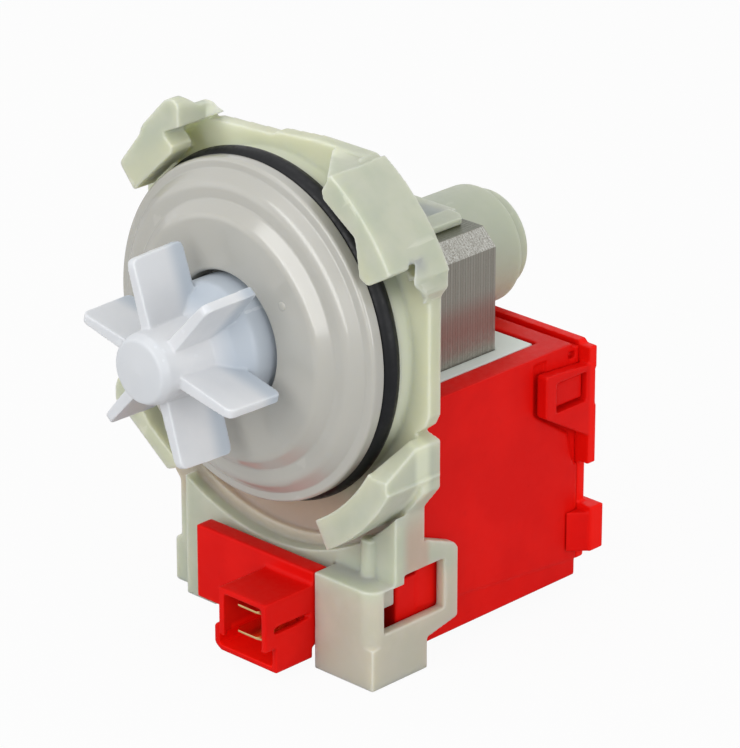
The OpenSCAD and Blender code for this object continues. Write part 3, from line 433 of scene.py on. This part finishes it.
def tab_brass():
    f = Finish("tab_brass", (0.94, 0.67, 0.30), 0.2, 1.0)
    f.clouded((0.97, 0.74, 0.38), 4, 2, 0.4, 0.7)
    f.roughened(1.6, 2, 0.16, 0.24)
    f.bumped(f.noise(0.15, 2, where=f.stretched((1, 0.1, 1))), 0.006, 0.5)
    return f.mat


def copper_wire():
    """Turns of wire side by side, as bands across the block that stands for them."""
    f = Finish("copper_wire", (0.60, 0.25, 0.10), 0.3, 0.8)
    turns = f.add("ShaderNodeTexWave")
    turns.bands_direction = "Z"
    turns.inputs["Scale"].default_value = 900
    f.link(f.place, turns.inputs["Vector"])
    f.tinted((0.74, 0.36, 0.16), turns.outputs["Fac"])
    f.bumped(turns.outputs["Fac"], 0.08, 0.8)
    return f.mat


def ferrite():
    f = Finish("ferrite", (0.05, 0.05, 0.055), 0.5, 0.3)
    f.clouded((0.11, 0.11, 0.12), 0.5, 4, 0.5, 0.75, 0.6)
    f.roughened(0.7, 4, 0.4, 0.62)
    f.bumped(f.noise(0.25, 3), 0.02, 0.6)
    return f.mat


def sintered_bush():
    f = Finish("sintered_bush", (0.10, 0.095, 0.09), 0.5, 0.6)
    f.clouded((0.20, 0.19, 0.17), 0.3, 4, 0.5, 0.75, 0.6)
    f.bumped(f.noise(0.2, 3), 0.02, 0.7)
    return f.mat


def dark_plastic():
    f = Finish("dark_plastic", (0.025, 0.025, 0.028), 0.4)
    f.clouded((0.05, 0.05, 0.055), 2, 4, 0.5, 0.8, 0.5)
    f.roughened(0.8, 4, 0.32, 0.5)
    f.bumped(f.noise(0.3, 3), 0.012, 0.5)
    return f.mat


def washer_plastic():
    f = Finish("washer_plastic", (0.62, 0.57, 0.42), 0.4)
    f.clouded((0.70, 0.65, 0.50), 3, 3, 0.4, 0.7)
    f.roughened(0.8, 4, 0.32, 0.5)
    f.bumped(f.noise(0.3, 3), 0.010, 0.5)
    return f.mat


# Bench tools

def alone(obj):
    """Makes an object the only one selected, and the active one."""
    bpy.ops.object.select_all(action="DESELECT")
    obj.select_set(True)
    bpy.context.view_layer.objects.active = obj


def shape(obj, kind, **values):
    """Adds a modifier and applies it."""
    alone(obj)
    mod = obj.modifiers.new(kind.lower(), kind)
    for key, value in values.items():
        setattr(mod, key, value)
    bpy.ops.object.modifier_apply(modifier=mod.name)


def smooth(obj, degrees):
    """Shades smooth, except over edges sharper than the angle."""
    alone(obj)
    bpy.ops.object.shade_smooth_by_angle(angle=math.radians(degrees))


def faces_outwards(obj):
    """Joins points that lie together, and turns all faces outwards."""
    alone(obj)
    bpy.ops.object.mode_set(mode="EDIT")
    bpy.ops.mesh.select_all(action="SELECT")
    bpy.ops.mesh.remove_doubles(threshold=0.000002)
    bpy.ops.mesh.normals_make_consistent(inside=False)
    bpy.ops.object.mode_set(mode="OBJECT")


def rounded(rows):
    """An outline of (a, b, corner radius) rows as points with round corners."""
    made = []
    for i, (x, y, r) in enumerate(rows):
        p = Vector((x, y))
        if r <= 0:
            made.append(p)
            continue
        before = Vector(rows[i - 1][:2])
        after = Vector(rows[(i + 1) % len(rows)][:2])
        u, v = (before - p).normalized(), (after - p).normalized()
        half = math.acos(max(-1, min(1, u.dot(v)))) / 2
        centre = p + (u + v).normalized() * (r / math.sin(half))
        t1, t2 = p + u * (r / math.tan(half)) - centre, p + v * (r / math.tan(half)) - centre
        start = math.atan2(t1.y, t1.x)
        sweep = (math.atan2(t2.y, t2.x) - start + math.pi) % (2 * math.pi) - math.pi
        for k in range(CORNER_STEPS + 1):
            a = start + sweep * k / CORNER_STEPS
            made.append(centre + Vector((math.cos(a), math.sin(a))) * r)
    return made


def drawn_out(name, outline, plane, way):
    """A flat face on an outline, extruded by way, in millimetres. plane gives the corner (a, b) its place."""
    bpy.ops.object.select_all(action="DESELECT")
    bpy.ops.mesh.primitive_circle_add(vertices=len(outline), radius=MM, fill_type="NGON")
    obj = bpy.context.object
    obj.name = name
    for vert, (a, b) in zip(obj.data.vertices, outline):
        vert.co = Vector(plane(a, b)) * MM
    bpy.ops.object.mode_set(mode="EDIT")
    bpy.ops.mesh.select_all(action="SELECT")
    bpy.ops.mesh.extrude_region_move(TRANSFORM_OT_translate={"value": Vector(way) * MM})
    bpy.ops.mesh.select_all(action="SELECT")
    bpy.ops.mesh.normals_make_consistent(inside=False)
    bpy.ops.object.mode_set(mode="OBJECT")
    return obj


def along_y(name, outline, y0, y1):
    return drawn_out(name, outline, lambda x, z: (x, y0, z), (0, y1 - y0, 0))


def along_x(name, outline, x0, x1):
    return drawn_out(name, outline, lambda y, z: (x0, y, z), (x1 - x0, 0, 0))


def along_z(name, outline, z0, z1):
    return drawn_out(name, outline, lambda x, y: (x, y, z0), (0, 0, z1 - z0))


def brick(name, low, high):
    """A box between two corners in millimetres."""
    x0, y0, z0 = low
    x1, y1, z1 = high
    return along_z(name, [(x0, y0), (x1, y0), (x1, y1), (x0, y1)], z0, z1)


def turned(name, profile):
    """A closed profile of (radius, y) points in millimetres, spun about the shaft."""
    bpy.ops.object.select_all(action="DESELECT")
    bpy.ops.mesh.primitive_circle_add(vertices=len(profile), radius=MM, fill_type="NOTHING")
    obj = bpy.context.object
    obj.name = name
    for vert, (r, y) in zip(obj.data.vertices, profile):
        vert.co = Vector((r, y, 0)) * MM
    bpy.ops.object.mode_set(mode="EDIT")
    bpy.ops.mesh.select_all(action="SELECT")
    bpy.ops.mesh.spin(steps=TURNED_SIDES, angle=2 * math.pi, center=(0, 0, 0), axis=(0, 1, 0))
    bpy.ops.object.mode_set(mode="OBJECT")
    faces_outwards(obj)
    return obj


def cut(obj, tool):
    """Takes the tool's shape out of the piece."""
    shape(obj, "BOOLEAN", operation="DIFFERENCE", solver="EXACT", object=tool)
    bpy.data.objects.remove(tool)


def unite(obj, other):
    """Joins the other shape to the piece."""
    shape(obj, "BOOLEAN", operation="UNION", solver="EXACT", object=other)
    bpy.data.objects.remove(other)


def cast_of(name, new_name):
    """A closed copy of a solid, to work on."""
    obj = node[name].copy()
    obj.data = node[name].data.copy()
    obj.parent = None
    for key in list(obj.keys()):
        del obj[key]
    obj.name = new_name
    bpy.context.scene.collection.objects.link(obj)
    alone(obj)
    bpy.ops.object.mode_set(mode="EDIT")
    bpy.ops.mesh.select_all(action="SELECT")
    bpy.ops.mesh.remove_doubles(threshold=0.000002)
    bpy.ops.object.mode_set(mode="OBJECT")
    return obj


def moulded(obj, grain_mm, rounds, most=MOST_TRIANGLES):
    """Melts the edges and corners of a solid, as a mould's small radii do."""
    shape(obj, "REMESH", mode="VOXEL", voxel_size=grain_mm * MM)
    shape(obj, "SMOOTH", factor=0.5, iterations=rounds)
    count = sum(len(p.vertices) - 2 for p in obj.data.polygons)
    if count > most:
        shape(obj, "DECIMATE", decimate_type="COLLAPSE", ratio=most / count)
    smooth(obj, 50)


def crisp(obj, radius_mm):
    """Flat faces with small round edges."""
    shape(obj, "DECIMATE", decimate_type="DISSOLVE", angle_limit=math.radians(1))
    shape(
        obj, "BEVEL", width=radius_mm * MM, segments=2, limit_method="ANGLE",
        angle_limit=math.radians(28), use_clamp_overlap=True, harden_normals=False, miter_outer="MITER_ARC",
    )
    smooth(obj, 32)


def finished(obj, stands_for, mat):
    """Gives a piece its finish, and the body of the solid that it stands for."""
    obj.data.materials.clear()
    obj.data.materials.append(mat)
    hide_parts(stands_for)
    bodies = frame["record"]["behaviour"]["bodies"]
    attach(obj, next(body for body, members in bodies.items() if stands_for in members))


# Pieces

def pearl_disc(mat):
    rim_r, rim_back = 31, 1.6
    skirt_in, skirt_out, skirt_end = 23.65, 25.45, 8.7
    well_r, well_y, inside_y = 14, 1.8, -3.8
    tube_in, tube_out, tube_end = 6.4, 8.25, 11.5
    hole_r, face_y = 12.2, -5.6
    profile = rounded([
        (skirt_in, skirt_end, 0), (skirt_in, 1.2, 0.5), (23, -2.4, 1), (21.4, inside_y, 0.8),
        (well_r, inside_y, 0.4), (well_r, well_y, 0.4), (tube_out, well_y, 0.4), (tube_out, tube_end, 0.3),
        (tube_in, tube_end, 0), (tube_in, 0, 0), (hole_r, 0, 0), (hole_r, face_y, 0.7),
        (21.9, face_y, 2.4), (24.3, -3.4, 1.0), (27, -3.25, 3.0), (29.2, -1, 0.6), (rim_r, -0.85, 0.75),
        (rim_r, rim_back, 0.15), (skirt_out, rim_back, 0), (skirt_out, skirt_end, 0.3),
    ])
    disc = turned("pearl_disc", profile)
    # Small round mark of the mould's pin, flatter than a ball
    mark_r, flatness, mark_place = 0.85, 0.28, (13.9, face_y, 9.9)
    bpy.ops.mesh.primitive_uv_sphere_add(segments=24, ring_count=12, radius=mark_r * MM, location=(0, 0, 0))
    mark = bpy.context.object
    mark.data.transform(Matrix.Diagonal((1, flatness, 1, 1)))
    mark.data.transform(Matrix.Translation(Vector(mark_place) * MM))
    unite(disc, mark)
    smooth(disc, 40)
    finished(disc, "front_cover", mat)


def seal(mat):
    section_r, middle_r, middle_y = 2.0, 29.95, 3.65
    sides, flash = 40, 0.06
    points = []
    for k in range(sides):
        a = 2 * math.pi * k / sides
        # Fine flash line where the mould's halves met
        r = section_r + (flash if k in (0, sides // 2) else 0.0)
        points.append((middle_r + r * math.cos(a), middle_y + r * math.sin(a)))
    ring = turned("seal_ring", points)
    smooth(ring, 60)
    finished(ring, "sealing_ring", mat)


def bladed_wheel(mat):
    """The impeller, with its blades' and bell's edges softened."""
    wheel = cast_of("impeller", "bladed_wheel")
    moulded(wheel, 0.2, 6)
    finished(wheel, "impeller", mat)


def flange(mat):
    plate = cast_of("mounting_flange", "bayonet_flange")
    # Rib that shows behind the front edge of the loop's window
    unite(plate, brick("window_rib", (26.6, 1.5, -45.6), (28.2, 7.1, -40.6)))
    # Cheek that carries the upper right hook's outer wall down to the plate, with a slope in front
    front, back, foot = 3.6, 11.95, 12.1
    outline = [
        (34.4, 20.8), (34.7, 20.6), (36.15, 17.9), (36.15, 14.7), (34.3, foot), (33.9, foot), (34.1, 14),
        (35.2, 15.5), (35.2, 18.6),
    ]
    cheek = along_y("cheek", outline, front, back)
    slope = [(3.2, 17.6), (7.6, 13.4), (7.6, 12), (3.2, 12)]
    cut(cheek, along_x("cheek_slope", slope, 32, 37))
    cut(cheek, along_z("cheek_tip", [(34.6, 3.4), (36.1, 3.4), (34.6, 5.2)], 12, 20.9))
    unite(plate, cheek)
    moulded(plate, 0.24, 6)
    finished(plate, "mounting_flange", mat)


def can(mat):
    shell = cast_of("rotor_can", "rotor_shell")
    # Valley between the saddle's rails, which stop short of the can's shoulder
    rail_in, valley_z, saddle_end, above = 9.4, 13.05, 44, 15
    cut(shell, brick("valley", (-rail_in, 13, valley_z), (rail_in, saddle_end, above)))
    for side in (-1, 1):
        outline = [(9, saddle_end), (15, saddle_end), (15, 36.5), (14.3, 38.6), (12.6, 40), (9, 40.4)]
        cut(shell, along_z("rail_end", [(side * x, y) for x, y in outline], 12.5, above))
    moulded(shell, 0.24, 6)
    finished(shell, "rotor_can", mat)


def sheet_stack(name, side, mat):
    """One pole with its leg, as a stack of thin stamped sheets."""
    bore, tip_x, half_w, leg_in = 11.35, 2.2, 20, 8.4
    top, waist, low, chamfer = 12.4, -13.4, -42.2, 3.1
    first_y, stack, count, gap = 21.3, 20, 31, 0.03
    outline = [
        (tip_x, top), (half_w - chamfer, top), (half_w, top - chamfer), (half_w, low), (leg_in, low),
        (leg_in, waist), (tip_x, waist),
    ]
    arc_steps = 28
    start = math.asin(tip_x / bore)
    for k in range(arc_steps + 1):
        a = start + (math.pi - 2 * start) * k / arc_steps
        outline.append((bore * math.sin(a), -bore * math.cos(a)))
    pitch = stack / count
    sheet = along_y(name, [(x * side, z) for x, z in outline], first_y, first_y + pitch - gap)
    shape(sheet, "BEVEL", width=0.035 * MM, segments=1, limit_method="ANGLE", angle_limit=math.radians(60))
    shape(
        sheet, "ARRAY", count=count, use_relative_offset=False, use_constant_offset=True,
        constant_offset_displace=(0, pitch * MM, 0),
    )
    faces_outwards(sheet)
    finished(sheet, "pole_leg_right" if side > 0 else "pole_leg_left", mat)


def red_box(mat):
    box = cast_of("coil_housing", "coil_box")
    hood_left, hood_right, beyond = 6.1, 15.1, 29
    # Trough below the plug's hood, open in front and up into the hood
    cut(box, brick("trough", (2.1, -12, -56.1), (hood_right, -1.6, -51.8)))
    cut(box, brick("hood_floor", (hood_left, -14, -52.4), (hood_right - 0.1, -3, -50.6)))
    # Keying groove in the hood's side
    groove = [(-10.3, -49.5), (-5.2, -49.4), (-2.2, -49.1), (-2.2, -48.2), (-10.3, -48.1)]
    cut(box, along_x("groove", groove, hood_right - 0.2, hood_right + 1.9))
    # Neck stands back from the window's front edge
    cut(box, brick("neck_front", (16.9, 4.5, -56), (28.4, 7.6, -40.8)))
    # Step in front of the lid's rim, and the small hole beside it
    cut(box, brick("rim_step", (-beyond, 52.7, -10.9), (beyond, 55, -9)))
    cut(box, brick("rim_hole", (27.0, 51.6, -12.9), (beyond, 53.4, -11.6)))
    # Shallow recess for the lid's snap loop, and the draft of the side's lower part
    recess = [
        (42.5, -11.4), (45.9, -11.4), (45.9, -20.7), (54.7, -25.9),
        (54.7, -34), (53.4, -33.6), (51.6, -27.2), (42.5, -21),
    ]
    draft = [(11, -48), (55.5, -52.6), (55.5, -58), (11, -58)]
    for side in (-1, 1):
        cut(box, along_x("loop_recess", recess, side * 27.75, side * beyond))
        cut(box, along_x("side_draft", draft, side * 28.08, side * beyond))
    moulded(box, 0.3, 3)
    finished(box, "coil_housing", mat)


def red_lid(mat):
    lid = cast_of("rear_cover", "coil_box_lid")
    moulded(lid, 0.26, 3)
    finished(lid, "rear_cover", mat)


def bobbins(mat):
    for side in ("left", "right"):
        obj = cast_of("bobbin_" + side, "coil_former_" + side)
        moulded(obj, 0.35, 3, 40000)
        finished(obj, "bobbin_" + side, mat)


def tabs(mat):
    tip_y, half_t, lead_in, spare = -11.4, 0.4, 1.2, 0.1
    for level, middle in (("upper", -46.1), ("lower", -51.1)):
        obj = cast_of("terminal_" + level, "tab_" + level)
        # Lead-in of the tab's tip, from below to just past the tab's middle
        front, low = tip_y - spare, middle - half_t - spare
        wedge = [(front, low), (front, middle + 0.07), (tip_y + lead_in, low)]
        cut(obj, along_x("lead_in", wedge, 0, 20))
        crisp(obj, 0.04)
        finished(obj, "terminal_" + level, mat)


def refinish(names, mat):
    """Gives a fuller finish to solids that stay as they are."""
    for name in names:
        for slot in node[name].material_slots:
            slot.material = mat


bpy.ops.object.select_all(action="DESELECT")
aim_camera()
white_world(0.63)
white_floor(cad_low.z - 0.0001)
lamp("top_softbox", (-0.15, -0.05, 0.95), (0.7, 0.7), 1.5)
lamp("long_softbox", (0.17, -0.92, 0.45), (1.5, 0.42), 6.0, (0.77, -0.15, -0.62))
lamp("left_softbox", (-0.75, -0.70, 0.15), (0.7, 0.7), 0.5)
lamp("side_softbox", (1.0, 0.05, 0.2), (0.7, 0.7), 3.1)

natural, pearl, white, red = natural_plastic(), pearl_plastic(), white_plastic(), red_plastic()
rubber, sheets, steel, brass = black_rubber(), stacked_sheets(), turned_steel(), tab_brass()
copper, magnet, bush = copper_wire(), ferrite(), sintered_bush()
dark, washer = dark_plastic(), washer_plastic()

pearl_disc(pearl)
seal(rubber)
bladed_wheel(white)
flange(natural)
can(natural)
sheet_stack("pole_sheets_left", -1, sheets)
sheet_stack("pole_sheets_right", 1, sheets)
red_box(red)
red_lid(red)
bobbins(white)
tabs(brass)

refinish(["core_yoke"], sheets)
refinish(["winding_left", "winding_right", "coil_leads"], copper)
refinish(["rotor_shaft"], steel)
refinish(["rotor_magnet"], magnet)
refinish(["magnet_sleeve", "drive_dog"], dark)
refinish(["front_bearing", "rear_bearing"], bush)
refinish(["front_bearing_mount", "rear_bearing_mount", "shaft_seal", "dog_buffer"], rubber)
refinish(["thrust_washers", "thermal_protector"], washer)
refinish(["dog_retainer"], white)

bpy.context.scene.view_settings.view_transform = "Standard"
